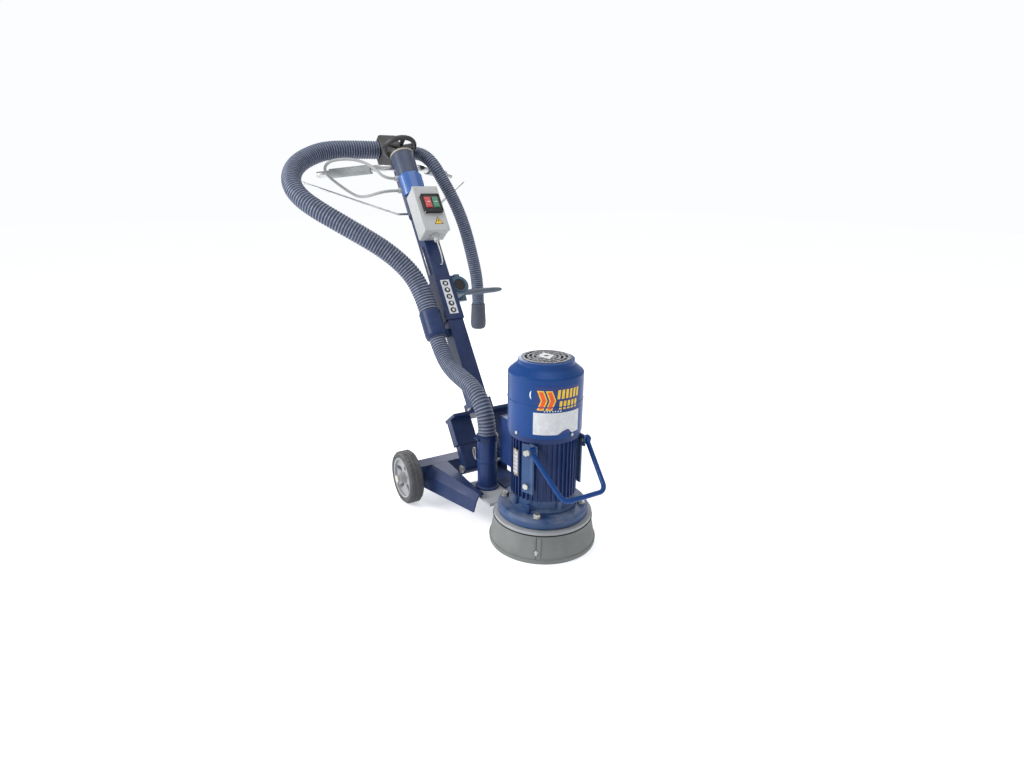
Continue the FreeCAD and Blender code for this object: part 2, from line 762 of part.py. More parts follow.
def handwheel():
    """Lobed wheel on a threaded spindle that runs in the end ring."""
    at = D.column_length + 38
    rim = torus(D.handwheel_radius, 8.5, (0, 0, at))
    hub = cylinder(17, 30, (0, 0, D.column_length + 18))
    arms = [block((8, -6, at - 5), (D.handwheel_radius, 6, at + 5), spin=angle)
            for _, _, angle in around(5, 1.0)]
    bore = cylinder(8, 200, (0, 0, D.column_length - 60))
    node("handwheel", cut(fuse(rim, hub, *arms), bore), COLUMN)
    node("spindle", cylinder(8, 216, (0, 0, D.column_length - 170)), COLUMN)


def handlebar():
    """Swept-back bar through the head, with a rubber grip at each end."""
    bar, _, _ = swept(BAR, D.bar_radius.value * 2, 60.0)
    node("handlebar", feature(bar))
    grips = []
    for bend, end in ((BAR[1], BAR[0]), (BAR[2], BAR[3])):
        tip = FreeCAD.Vector(*end)
        along = (tip - FreeCAD.Vector(*bend)).normalize()
        start = tip - along * 205
        outer = cylinder(D.grip_radius, 155, tuple(start), axis=along)
        bore = cylinder(D.bar_radius + 0.02, 170, tuple(start - along * 5), axis=along)
        grips.append(cut(outer, bore))
    node("hand_grips", group(*grips))


def bar_clamp():
    """Block behind the head tube that holds the handlebar, and the pressed blue saddle."""
    radius = D.top_radius
    saddle = cut(lathe([(radius + 0.3, 770), (radius + 6, 770), (radius + 6, 846), (radius + 3, 852),
                        (radius + 0.3, 852)]), block((-80, -80, 760), (12, 80, 860)))
    node("saddle", saddle, COLUMN)


def switch_box():
    """Moulded box and cover on the column's front, with two push buttons and a gland."""
    near = D.tube_side / 2 + 0.2
    low = 585
    half = D.box_width / 2
    high = low + D.box_length
    split = near + D.box_depth - 12
    front = near + D.box_depth
    shell = block((near, -half, low), (split, half, high))
    recess = block((near, -42, low + 112), (43.2, 42, high + 2))
    hollow = block((48, -half + 4, low + 4), (split + 1, half - 4, high - 4))
    tidy = rounded(cut(shell, recess, hollow), 5, lambda p: abs(p.y) > 44 and (p.z < low + 1 or p.z > 752))
    node("switch_box", tidy, COLUMN)
    cover = block((split + 0.2, -half, low), (front, half, high))
    station = block((front - 1, -30, BUTTON_S - 34), (front + 12, 36, BUTTON_S + 34))
    wells = [block((front + 3, y - 11.2, BUTTON_S - 20.2), (front + 20, y + 11.2, BUTTON_S + 20.2))
             for y in BUTTON_Y]
    bevelled = rounded(station, 3, lambda p: p.x > front.value + 11.9)
    node("switch_cover", cut(fuse(cover, bevelled), *wells), COLUMN)
    for name, y in zip(("red_button", "green_button"), BUTTON_Y):
        cap = block((front + 6.2, y - 11, BUTTON_S - 20), (front + 17, y + 11, BUTTON_S + 20))
        node(name, rounded(cap, 2, lambda p: p.x > front.value + 16.9), COLUMN)
    gland = fuse(hexagon(26, 10, (64, 0, low - 10.2), axis=Z), cylinder(9, 18, (64, 0, low - 26)))
    side_gland = cylinder(9, 13.4, (0, -(D.top_radius + 13.5), 850), axis=Y)
    low_gland = cylinder(9, 13.4, (0, -(D.top_radius + 13.5), 800), axis=Y)
    node("cable_glands", group(gland, side_gland, low_gland), COLUMN)


def power_inlet():
    """Round blue mains inlet on the column's left side, with its sprung flap."""
    at = (-60, 66, 424)
    arm = block((-52, 14, 402), (-31.2, 36, 442))
    flange = block((-58, 31, 387), (-48, 104, 461))
    barrel = cylinder(32, 54, at, axis=X)
    well = cylinder(27, 50, (at[0] + 8, at[1], at[2]), axis=X)
    pins = [cylinder(4, 30, (at[0] + 4, at[1] + y, at[2] + z), axis=X)
            for y, z in ((-12, 7), (12, 7), (0, -13))]
    front = at[0] + 54.3
    hinge = (front - 4, at[1], at[2] + 37)
    ears = [block((front - 8, at[1] + y, at[2] + 26), (front - 0.6, at[1] + y + 4, at[2] + 41))
            for y in (-14, 10)]
    hinge_pin = cylinder(2, 28, (hinge[0], hinge[1] - 14, hinge[2]), axis=Y)
    node("power_inlet", fuse(cut(fuse(arm, flange, barrel), well), *pins, *ears, hinge_pin), COLUMN)
    lid = cylinder(34, 6, (front, at[1], at[2]), axis=X)
    knuckle = cylinder(4, 19, (hinge[0], hinge[1] - 9.5, hinge[2]), axis=Y)
    tie = block((front - 4, at[1] - 9.5, hinge[2] - 2), (front + 6, at[1] + 9.5, hinge[2] + 4))
    root = block((front, at[1] - 9.5, at[2] + 28), (front + 6, at[1] + 9.5, hinge[2] + 4))
    bore = cylinder(2.06, 40, (hinge[0], hinge[1] - 20, hinge[2]), axis=Y)
    node("inlet_flap", cut(fuse(lid, knuckle, tie, root), bore), COLUMN)


def tilt_lever():
    """Tapered hand lever on the column's left side."""
    x, y, z = LEVER_PIVOT
    boss = cylinder(13, 18, (x - 9, y, z), axis=X)
    shank = cone(9.4, 5.5, 256, (x, y + 6, z), axis=Y)
    tip = doc.addObject("Part::Sphere", "Tip")
    bind(tip, Radius=5.5)
    tip.Placement = place((x, y + 262, z))
    hole = cylinder(5.05, 60, (x - 30, y, z), axis=X)
    node("tilt_lever", cut(fuse(boss, shank, tip), hole), COLUMN)


def cable_rod():
    """Thin bent rod across the back of the head, whose two ends reach out below the grips."""
    x, y, z = ROD_TIP
    points = [(x, -y, z), (ROD_HUB.x, -60, ROD_HUB.z), (ROD_HUB.x, 60, ROD_HUB.z), (x, y, z)]
    rod, _, _ = swept(points, 9.0, 24.0)
    node("cable_rod", feature(rod))


def hose_joint():
    """Stepped blue socket beside the column where the two hoses meet, on its two straps."""
    low = D.lower_hose / 2 + D.clear_gap
    high = D.upper_hose / 2 + D.clear_gap
    wall = high + 3
    socket = lathe([(low, 240), (low + 5, 240), (wall, 250), (wall, 330), (high, 330), (high, 281),
                    (low, 281)])
    socket.Placement = place((GUIDE[0], GUIDE[1], 0))
    strap = block((-12, -44, 244), (12, -27.2, 264))
    bore = cylinder(low, 60, (GUIDE[0], GUIDE[1], 234))
    node("hose_joint", fuse(socket, cut(strap, bore)), COLUMN)


def hose_coupling():
    """Black block behind the handwheel that joins the upper hose to the tail hose."""
    shell = rounded(block((-140, -38, 1003), (-62, 40, 1087)), 10, lambda p: True)
    shell.Placement = HANDLE * shell.Placement
    start = FreeCAD.Vector(*TAIL_ROUTE[0])
    ahead = (FreeCAD.Vector(*TAIL_ROUTE[1]) - start).normalize()
    spigot = cylinder(D.tail_hose / 2 + 3, 40, tuple(start - ahead * 40), axis=ahead)
    node("hose_coupling", fuse(shell, spigot))


def hose_nozzle():
    """Blind-ended cuff at the tail hose's free end: the vacuum cleaner's connection."""
    radius = D.tail_hose / 2
    profile = [(0, 70), (19, 70), (19, 0), (22, 0), (26, 4), (28.5, 12), (29, 26), (28, 48),
               (radius + 3, 84), (radius + 3, 92), (radius + 0.3, 95), (radius + 0.3, 80), (0, 80)]
    cuff = lathe(profile)
    cuff.Placement = place(NOZZLE)
    node("hose_nozzle", cuff)


def build():
    dust_skirt()
    shroud_housing()
    base_plate()
    machine_bolts()
    grinding_disc()
    drive_hub()
    suction_port()
    motor_foot()
    motor_frame()
    motor_inside()
    fan_cowl()
    cowl_grille()
    terminal_box()
    motor_screws()
    bail_brackets()
    bail_handle()
    chassis_wings()
    axle_beam()
    wheels()
    pivot_bracket()
    yoke()
    column_tubes()
    handwheel()
    handlebar()
    bar_clamp()
    switch_box()
    power_inlet()
    tilt_lever()
    cable_rod()
    hose_joint()
    hose_coupling()
    hose_nozzle()
    cord("hose_lower", LOWER_ROUTE, D.lower_hose)
    cord("hose_upper", UPPER_ROUTE, D.upper_hose)
    cord("hose_tail", TAIL_ROUTE, D.tail_hose)
    cord("control_cable", CABLE_ROUTE, D.cable)


def check_and_write():
    doc.recompute()
    for thing in doc.Objects:
        if "Invalid" in thing.State or "Error" in thing.State:
            raise RuntimeError(f"{thing.Name} {thing.Label} failed: {thing.State}")
    os.makedirs("parts", exist_ok=True)
    for thing in NODES:
        shape = thing.Shape
        if shape.isNull() or not shape.isValid() or not shape.Solids:
            raise RuntimeError(f"{thing.Label} has no valid solid")
        shape.exportStep(f"parts/{thing.Label}.step")
    print(len(NODES), "nodes")


build()
check_and_write()
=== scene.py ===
import json
import math

import bpy
from mathutils import Matrix, Vector, geometry


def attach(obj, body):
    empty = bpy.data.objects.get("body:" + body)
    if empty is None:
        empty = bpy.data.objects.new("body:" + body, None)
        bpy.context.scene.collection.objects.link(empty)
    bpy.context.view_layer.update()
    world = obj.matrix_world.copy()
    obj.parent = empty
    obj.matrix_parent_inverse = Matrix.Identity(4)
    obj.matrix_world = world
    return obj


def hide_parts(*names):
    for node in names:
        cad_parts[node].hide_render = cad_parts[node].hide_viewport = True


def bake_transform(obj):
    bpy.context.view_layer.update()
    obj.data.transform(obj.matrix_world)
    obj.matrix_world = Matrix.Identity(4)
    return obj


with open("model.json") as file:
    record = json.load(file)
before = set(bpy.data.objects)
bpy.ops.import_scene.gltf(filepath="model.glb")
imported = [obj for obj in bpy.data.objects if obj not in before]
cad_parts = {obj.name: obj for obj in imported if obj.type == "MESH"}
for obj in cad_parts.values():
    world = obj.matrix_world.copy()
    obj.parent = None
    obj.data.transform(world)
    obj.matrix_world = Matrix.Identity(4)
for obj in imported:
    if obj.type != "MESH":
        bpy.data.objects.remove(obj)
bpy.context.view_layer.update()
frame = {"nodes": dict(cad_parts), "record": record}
nodes = frame["nodes"]
scene = bpy.context.scene

# ---------------------------------------------------------------- places
# Sizes are millimetres from the motor's axis, which stands AXIS in front of the frame's origin.
# The column has its own frame: x out of its front, y to the left, s up its length from FOOT.
AXIS = 467.4
LEAN = math.radians(36)
FOOT = Vector((-385.0, 0.0, 280.0))
AHEAD = Vector((math.cos(LEAN), 0, math.sin(LEAN)))
ALONG = Vector((-math.sin(LEAN), 0, math.cos(LEAN)))
Y = Vector((0, 1, 0))
UP = Vector((0, 0, 1))


def machine(x, y, z):
    return Vector((x + AXIS, y, z)) / 1000


def column(x, y, s):
    p = FOOT + AHEAD * x + Y * y + ALONG * s
    return machine(p.x, p.y, p.z)


# ---------------------------------------------------------------- camera
EYE = (1343, -921, 979)
GAZE = (-0.8132, 0.4943, -0.3074)
ROLL = math.radians(0.53)


def make_camera():
    forward = Vector(GAZE).normalized()
    level = forward.cross(UP).normalized()
    up = level.cross(forward)
    right = level * math.cos(ROLL) + up * math.sin(ROLL)
    true_up = right.cross(forward)
    data = bpy.data.cameras.new("camera")
    data.sensor_width = 36.0
    data.lens = 22.62
    data.clip_start = 0.02
    camera = bpy.data.objects.new("camera", data)
    turn = Matrix((right, true_up, -forward)).transposed()
    camera.matrix_world = Matrix.Translation(machine(*EYE)) @ turn.to_4x4()
    scene.collection.objects.link(camera)
    scene.camera = camera


make_camera()


# ---------------------------------------------------------------- materials
class Graph:
    """A short way to write a shader: each call makes a node and links what it is given."""

    def __init__(self, name):
        self.material = bpy.data.materials.new(name)
        self.material.use_nodes = True
        self.tree = self.material.node_tree
        self.tree.nodes.clear()
        out = self.tree.nodes.new("ShaderNodeOutputMaterial")
        self.skin = self.tree.nodes.new("ShaderNodeBsdfPrincipled")
        self.link(self.skin.outputs[0], out.inputs["Surface"])

    def link(self, source, socket):
        self.tree.links.new(source, socket)

    def put(self, value, socket):
        if isinstance(value, bpy.types.NodeSocket):
            self.link(value, socket)
        elif isinstance(value, tuple) and len(value) == 3 and len(socket.default_value) == 4:
            socket.default_value = (*value, 1.0)
        else:
            socket.default_value = value

    def node(self, kind, inputs=None, **settings):
        made = self.tree.nodes.new("ShaderNode" + kind)
        for key, value in settings.items():
            setattr(made, key, value)
        for key, value in (inputs or {}).items():
            self.put(value, made.inputs[key])
        return made

    def coordinates(self, scale=(1, 1, 1)):
        place = self.node("TexCoord").outputs["Object"]
        return self.node("Mapping", {"Vector": place, "Scale": scale}).outputs[0]

    def noise(self, scale, detail=4.0, rough=0.6, stretch=(1, 1, 1)):
        return self.node("TexNoise", {"Vector": self.coordinates(stretch), "Scale": scale,
                                      "Detail": detail, "Roughness": rough}).outputs["Fac"]

    def ramp(self, value, low, high, bottom=0.0, top=1.0):
        return self.node("MapRange", {"Value": value, "From Min": low, "From Max": high,
                                      "To Min": bottom, "To Max": top}).outputs[0]

    def math(self, operation, a, b=0.5):
        made = self.tree.nodes.new("ShaderNodeMath")
        made.operation = operation
        made.use_clamp = operation in ("MULTIPLY", "ADD")
        self.put(a, made.inputs[0])
        self.put(b, made.inputs[1])
        return made.outputs[0]

    def mix(self, factor, a, b):
        made = self.tree.nodes.new("ShaderNodeMix")
        made.data_type = "RGBA"
        self.put(factor, made.inputs[0])
        self.put(a, made.inputs[6])
        self.put(b, made.inputs[7])
        return made.outputs[2]

    def bump(self, height, strength, distance, normal=None):
        inputs = {"Height": height, "Strength": strength, "Distance": distance}
        if normal is not None:
            inputs["Normal"] = normal
        return self.node("Bump", inputs).outputs[0]

    def edges(self, radius):
        """How sharp the edge is here, and the normal that rounds it off."""
        soft = self.node("Bevel", {"Radius": radius}, samples=4).outputs[0]
        true = self.node("NewGeometry").outputs["Normal"]
        dot = self.node("VectorMath", {0: soft, 1: true}, operation="DOT_PRODUCT").outputs["Value"]
        return self.math("SUBTRACT", 1.0, dot), soft

    def facing_up(self):
        normal = self.node("NewGeometry").outputs["Normal"]
        return self.node("SeparateXYZ", {0: normal}).outputs["Z"]


def shade(name, color, rough, metal=0.0, coat=0.0, dust=0.3, wear=0.0, under=(0.3, 0.3, 0.3),
          grain=120.0, depth=0.00015, variation=0.18, edge=0.0012, streak=(1, 1, 1), shine=0.5):
    """A used surface: uneven colour, dust on what faces up, worn edges and a fine grain."""
    g = Graph(name)
    cloud = g.noise(9.0, stretch=streak)
    fine = g.noise(grain, detail=6.0, stretch=streak)
    dark = tuple(c * (1 - variation) for c in color)
    light = tuple(min(1, c * (1 + variation) + 0.008) for c in color)
    tone = g.mix(g.ramp(cloud, 0.3, 0.7), dark, light)
    sharp, soft = g.edges(edge)
    if wear:
        chips = g.math("MULTIPLY", g.ramp(sharp, 0.04, 0.16), g.ramp(fine, 0.46, 0.60))
        scrape = g.ramp(g.noise(55.0, detail=8.0, rough=0.75), 0.72 - 0.06 * wear, 0.80)
        bare = g.math("MULTIPLY", g.math("ADD", chips, scrape), wear)
        tone = g.mix(bare, tone, under)
    if dust:
        settled = g.math("MULTIPLY", g.ramp(g.facing_up(), -0.2, 1.0),
                         g.ramp(g.noise(22.0), 0.35, 0.75))
        patches = g.ramp(g.noise(4.0), 0.50, 0.85, 0.0, 0.5)
        film = g.math("MULTIPLY", g.math("ADD", settled, patches), dust)
        tone = g.mix(film, tone, (0.36, 0.36, 0.35))
        g.put(g.math("ADD", rough, film), g.skin.inputs["Roughness"])
    else:
        g.put(g.ramp(fine, 0.3, 0.7, rough - 0.06, rough + 0.08), g.skin.inputs["Roughness"])
    g.put(tone, g.skin.inputs["Base Color"])
    g.put(metal, g.skin.inputs["Metallic"])
    g.put(coat, g.skin.inputs["Coat Weight"])
    g.put(shine, g.skin.inputs["Specular IOR Level"])
    g.put(0.12, g.skin.inputs["Coat Roughness"])
    g.put(g.bump(fine, 0.5, depth, soft), g.skin.inputs["Normal"])
    return g.material


def plain(name, color, rough=0.5, metal=0.0):
    """A printed or dyed colour with a faint mottle."""
    g = Graph(name)
    spread = g.ramp(g.noise(90.0), 0.35, 0.65)
    g.put(g.mix(spread, tuple(c * 0.9 for c in color), tuple(min(1, c * 1.08) for c in color)),
          g.skin.inputs["Base Color"])
    g.put(g.ramp(g.noise(30.0), 0.3, 0.7, rough - 0.05, rough + 0.08), g.skin.inputs["Roughness"])
    g.put(metal, g.skin.inputs["Metallic"])
    return g.material


def ribbed_hose():
    """Dark sheath with a pale worn crest on each rib; the rib attribute is 1 on a crest."""
    g = Graph("hose")
    rib = g.node("Attribute", attribute_name="rib").outputs["Fac"]
    scuff = g.noise(60.0, detail=5.0)
    crest = g.math("MULTIPLY", g.ramp(rib, 0.35, 0.95), g.ramp(scuff, 0.30, 0.62, 0.35, 1.0))
    base = g.mix(g.ramp(g.noise(7.0), 0.3, 0.7), (0.018, 0.026, 0.055), (0.036, 0.050, 0.098))
    film = g.math("MULTIPLY", g.ramp(g.facing_up(), 0.0, 1.0), 0.16)
    tone = g.mix(film, g.mix(crest, base, (0.22, 0.26, 0.36)), (0.26, 0.29, 0.35))
    g.put(tone, g.skin.inputs["Base Color"])
    g.put(g.ramp(crest, 0, 1, 0.55, 0.40), g.skin.inputs["Roughness"])
    g.put(g.bump(scuff, 0.3, 0.0003), g.skin.inputs["Normal"])
    return g.material


def perforated():
    """Grille sheet: a dense pattern of punched holes, each filled with near-black as painted shade
    for the hole's shaded inside.
    """
    g = Graph("grille")
    parts = g.node("SeparateXYZ", {0: g.coordinates((230, 230, 1))}).outputs
    dx = g.math("SUBTRACT", g.math("FRACT", parts["X"]), 0.5)
    dy = g.math("SUBTRACT", g.math("FRACT", parts["Y"]), 0.5)
    square = g.math("ADD", g.math("MULTIPLY", dx, dx), g.math("MULTIPLY", dy, dy))
    hole = g.ramp(square, 0.06, 0.09, 1.0, 0.0)
    tone = g.mix(g.ramp(g.noise(20.0), 0.3, 0.7), (0.16, 0.17, 0.19), (0.27, 0.28, 0.30))
    # the near-black mixed into each hole is painted shade for the inside of the hole
    g.put(g.mix(hole, tone, (0.012, 0.012, 0.014)), g.skin.inputs["Base Color"])
    g.put(0.6, g.skin.inputs["Roughness"])
    g.put(g.bump(g.math("SUBTRACT", 1.0, hole), 0.8, 0.0008), g.skin.inputs["Normal"])
    return g.material


MATERIALS = {
    "skirt_grey": shade("skirt", (0.165, 0.175, 0.17), 0.66, dust=0.40, grain=220, depth=0.0003),
    "housing_grey": shade("housing", (0.31, 0.325, 0.34), 0.5, dust=0.35, wear=0.5,
                          under=(0.2, 0.19, 0.18)),
    "paint_blue": shade("cast_blue", (0.016, 0.058, 0.170), 0.40, coat=0.10, dust=0.42, wear=0.7,
                        under=(0.13, 0.17, 0.23), grain=70, depth=0.0005, shine=0.3),
    "paint_motor": shade("motor_blue", (0.004, 0.026, 0.125), 0.42, coat=0.10, dust=0.10, wear=0.6,
                         under=(0.06, 0.11, 0.22), shine=0.25),
    "paint_cowl": shade("cowl_blue", (0.001, 0.044, 0.200), 0.32, coat=0.14, dust=0.0, wear=0.35,
                        under=(0.05, 0.12, 0.28), depth=0.00008, variation=0.12, shine=0.16),
    "paint_dark": shade("navy", (0.003, 0.019, 0.085), 0.44, coat=0.08, dust=0.07, wear=0.6,
                        under=(0.06, 0.10, 0.20), shine=0.25),
    "paint_light": shade("light_blue", (0.020, 0.065, 0.175), 0.42, coat=0.1, dust=0.16, wear=0.9,
                         under=(0.20, 0.25, 0.32), shine=0.3),
    "paint_slate": shade("slate", (0.036, 0.050, 0.098), 0.42, coat=0.1, dust=0.12, wear=0.5,
                         under=(0.20, 0.22, 0.27), shine=0.3),
    "bolt_steel": shade("zinc", (0.50, 0.50, 0.46), 0.38, metal=0.9, dust=0.25, grain=300,
                        depth=0.0001),
    "ground_steel": shade("steel", (0.55, 0.56, 0.57), 0.30, metal=1.0, dust=0.1, grain=200,
                          streak=(1, 1, 8)),
    "winding_steel": shade("laminations", (0.16, 0.12, 0.09), 0.6, metal=0.3, dust=0.1),
    "segment_metal": shade("segments", (0.20, 0.17, 0.14), 0.8, metal=0.5, dust=0.3, grain=400,
                           depth=0.0006),
    "bar_steel": shade("plated", (0.50, 0.50, 0.50), 0.24, metal=1.0, dust=0.08, grain=60,
                       depth=0.00004),
    "rim_grey": shade("rim", (0.30, 0.31, 0.33), 0.5, dust=0.4),
    "tyre_rubber": shade("tyre", (0.045, 0.046, 0.050), 0.78, dust=0.5, grain=260, depth=0.0004),
    "grille_grey": perforated(),
    "black_plastic": shade("black", (0.012, 0.012, 0.014), 0.42, dust=0.22, grain=260),
    "ring_beige": shade("beige", (0.33, 0.30, 0.25), 0.5, dust=0.3),
    "grip_grey": shade("grip", (0.30, 0.33, 0.33), 0.62, dust=0.15, grain=320, depth=0.0003),
    "saddle_blue": shade("saddle", (0.005, 0.085, 0.330), 0.32, coat=0.4, dust=0.1, wear=0.5,
                         under=(0.1, 0.2, 0.4)),
    "box_white": shade("box", (0.44, 0.45, 0.455), 0.45, dust=0.18, grain=300, depth=0.0001,
                       variation=0.06),
    "gland_grey": shade("gland", (0.45, 0.46, 0.46), 0.45, dust=0.2, variation=0.08),
    "inlet_blue": shade("inlet", (0.012, 0.070, 0.130), 0.35, coat=0.2, dust=0.3),
    "lever_grey": shade("lever", (0.085, 0.115, 0.155), 0.45, dust=0.3, wear=0.3,
                        under=(0.25, 0.27, 0.3)),
    "hose_grey": ribbed_hose(),
    "nozzle_grey": shade("nozzle", (0.048, 0.058, 0.088), 0.6, dust=0.3, grain=240, depth=0.0003),
    "cable_grey": shade("cable", (0.34, 0.35, 0.355), 0.5, dust=0.15, variation=0.08),
    "button_red": shade("red", (0.46, 0.018, 0.022), 0.3, coat=0.3, dust=0.1, variation=0.05),
    "button_green": shade("green", (0.010, 0.17, 0.085), 0.3, coat=0.3, dust=0.1, variation=0.05),
}
INK = plain("ink", (0.012, 0.013, 0.02), 0.5)
PAPER = plain("paper", (0.60, 0.62, 0.64), 0.45)
SILVER = plain("silver_label", (0.50, 0.51, 0.53), 0.3, 0.35)
ROYAL = plain("royal", (0.002, 0.022, 0.165), 0.35)
ORANGE = plain("orange", (0.75, 0.085, 0.006), 0.35)
YELLOW = plain("yellow", (0.80, 0.52, 0.02), 0.35)
PALE = plain("pale", (0.72, 0.78, 0.84), 0.35)
BRASS = plain("plate_metal", (0.22, 0.17, 0.10), 0.35, 0.7)
BLACK = plain("black_trim", (0.010, 0.010, 0.012), 0.6)
WIRE = plain("wire", (0.55, 0.56, 0.52), 0.45)

SLOT_OF = {s["node"]: s["material_slot"] for s in frame["record"]["subparts"]}
for name, piece in nodes.items():
    piece.data.materials.clear()
    piece.data.materials.append(MATERIALS[SLOT_OF[name]])


# ---------------------------------------------------------------- meshes
BOX_FACES = [(3, 2, 1, 0), (4, 5, 6, 7), (0, 1, 5, 4), (1, 2, 6, 5), (2, 3, 7, 6), (3, 0, 4, 7)]
CREASE = math.radians(35)


def mesh_object(name, points, faces, material, body, smooth=False):
    """A mesh with the given material that rides on a body, if one is given."""
    data = bpy.data.meshes.new(name)
    data.from_pydata([tuple(p) for p in points], [], faces)
    data.validate()
    data.update()
    if smooth:
        data.shade_smooth()
    data.materials.append(material)
    thing = bpy.data.objects.new(name, data)
    scene.collection.objects.link(thing)
    if body:
        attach(thing, body)
    return thing


def ring_mesh(rings):
    """A closed skin through rings that all have the same number of points."""
    points = [p for r in rings for p in r]
    count = len(rings[0])
    faces = []
    for i in range(len(rings) - 1):
        a = i * count
        b = a + count
        faces += [(a + j, a + (j + 1) % count, b + (j + 1) % count, b + j) for j in range(count)]
    faces.append(tuple(range(count - 1, -1, -1)))
    faces.append(tuple(range(len(points) - count, len(points))))
    return points, faces


def lathe(profile, turn, at, steps):
    """A turned shape: profile is (radius, height) in metres in the turned frame."""
    rings = []
    for radius, height in profile:
        ring = []
        for i in range(steps):
            a = 2 * math.pi * i / steps
            ring.append(at + turn @ Vector((radius * math.cos(a), radius * math.sin(a), height)))
        rings.append(ring)
    return ring_mesh(rings)


def box_mesh(low, high, to_world):
    corners = [(x, y, z) for z in (low[2], high[2]) for x, y in
               ((low[0], low[1]), (high[0], low[1]), (high[0], high[1]), (low[0], high[1]))]
    return [to_world(*c) for c in corners], BOX_FACES


def soften(thing, width):
    bevel = thing.modifiers.new("soft", "BEVEL")
    bevel.width = width
    bevel.segments = 2
    bevel.limit_method = "ANGLE"
    bevel.angle_limit = CREASE
    return thing


def box(name, low, high, to_world, material, body, edge=0.0006):
    """A box with softened edges, between two corners that to_world places."""
    points, faces = box_mesh(low, high, to_world)
    return soften(mesh_object(name, points, faces, material, body), edge)


def turned(name, profile, at, axis, material, body, steps=48):
    """A turned piece; profile is (radius, height) in millimetres along axis from at."""
    turn = axis.to_track_quat("Z", "Y").to_matrix()
    scaled = [(r / 1000, h / 1000) for r, h in profile]
    points, faces = lathe(scaled, turn, at, steps)
    thing = mesh_object(name, points, faces, material, body, smooth=True)
    thing.data.set_sharp_from_angle(angle=CREASE)
    return thing


# ---------------------------------------------------------------- hoses and cable
def spline_points(name, controls, resolution):
    """Points along the NURBS line that has these control points."""
    data = bpy.data.curves.new(name, "CURVE")
    data.dimensions = "3D"
    data.resolution_u = resolution
    line = data.splines.new("NURBS")
    line.points.add(len(controls) - 1)
    for point, place in zip(line.points, controls):
        point.co = (*place, 1.0)
    line.order_u = 3
    line.use_endpoint_u = True
    holder = bpy.data.objects.new(name + "_line", data)
    scene.collection.objects.link(holder)
    evaluated = holder.evaluated_get(bpy.context.evaluated_depsgraph_get())
    mesh = bpy.data.meshes.new_from_object(evaluated)
    places = [v.co.copy() for v in mesh.vertices]
    bpy.data.objects.remove(holder)
    return places


def even(points, step):
    """The same line with points one step apart."""
    lengths = [0.0]
    for a, b in zip(points, points[1:]):
        lengths.append(lengths[-1] + (b - a).length)
    count = max(2, round(lengths[-1] / step))
    result = []
    j = 0
    for i in range(count + 1):
        want = lengths[-1] * i / count
        while j < len(lengths) - 2 and lengths[j + 1] < want:
            j += 1
        share = (want - lengths[j]) / max(1e-12, lengths[j + 1] - lengths[j])
        result.append(points[j].lerp(points[j + 1], share))
    return result, lengths[-1]


def tube(name, points, radius_at, material, sides, attribute=None):
    """A tube along points with a radius that changes; frames are carried along without twist."""
    rings = []
    normal = None
    values = []
    for i, place in enumerate(points):
        ahead = (points[min(i + 1, len(points) - 1)] - points[max(i - 1, 0)]).normalized()
        if normal is None:
            normal = ahead.orthogonal().normalized()
        normal = (normal - ahead * normal.dot(ahead)).normalized()
        side = ahead.cross(normal)
        radius = radius_at(i)
        rings.append([place + (normal * math.cos(2 * math.pi * k / sides)
                               + side * math.sin(2 * math.pi * k / sides)) * radius
                      for k in range(sides)])
        if attribute:
            values += [attribute(i)] * sides
    data_points, faces = ring_mesh(rings)
    thing = mesh_object(name, data_points, faces, material, None, smooth=True)
    if attribute:
        layer = thing.data.attributes.new("rib", "FLOAT", "POINT")
        layer.data.foreach_set("value", values)
    return thing


SMOOTHNESS = 24  # points of a hose's line per control point
RIB_RINGS = 8    # rings of points from one crest to the next


def hose(name, route, diameter, pitch, depth):
    """A ribbed hose that starts at its route's first point: round crests a pitch apart, with
    narrow grooves between them."""
    controls = [machine(*p) for p in route]
    path, length = even(spline_points(name, controls, SMOOTHNESS), pitch / 1000 / RIB_RINGS)
    full = diameter / 2000

    def crest(i):
        return 0.5 + 0.5 * math.cos(2 * math.pi * (i % RIB_RINGS) / RIB_RINGS)

    def radius_at(i):
        return full - depth / 1000 * (1 - crest(i) ** 0.7)

    thing = tube(name, path, radius_at, MATERIALS["hose_grey"], 40, lambda i: crest(i) ** 2)
    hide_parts(name)
    return thing


LOWER_ROUTE = [(-195, -70, 241), (-195, -70, 272), (-208, -70, 317), (-239, -71, 354),
               (-287, -72, 377), (-344, -73, 386), (-403, -74, 395), (-458, -74, 415),
               (-510.3, -74, 459.3), (-546.7, -74, 509.4)]
UPPER_ROUTE = [(-547.3, -74, 510.1), (-593.1, -74, 573.2), (-638, -89, 649), (-671, -127, 705),
               (-702, -179, 753), (-732, -237, 793), (-766, -295, 832), (-806, -347, 868),
               (-857, -385, 903), (-914, -399, 940), (-970, -386, 978), (-1018, -350, 1013),
               (-1052, -296, 1040), (-1072, -230, 1061), (-1081, -120, 1066),
               (-1081, -38.3, 1066)]
TAIL_ROUTE = [(-1058, 64.5, 1060), (-1006, 75, 1058), (-950, 91, 1048), (-908, 108, 1016),
              (-888, 132, 964), (-855, 162, 890), (-828, 188, 802), (-808, 206, 703),
              (-786, 220, 596), (-786, 220, 505)]
CABLE_ROUTE = [(-855, -53.8, 927.4), (-855, -88, 927.4), (-864, -124, 920), (-892, -152, 908),
               (-932, -172, 905), (-972, -192, 922), (-1002, -218, 946), (-1020, -244, 970),
               (-1024, -260, 998), (-1010, -244, 1022), (-992, -208, 1030),
               (-970, -170, 1030), (-946, -138, 1020), (-916, -112, 1000),
               (-884.5, -90, 967.5), (-884.5, -53.8, 967.5)]


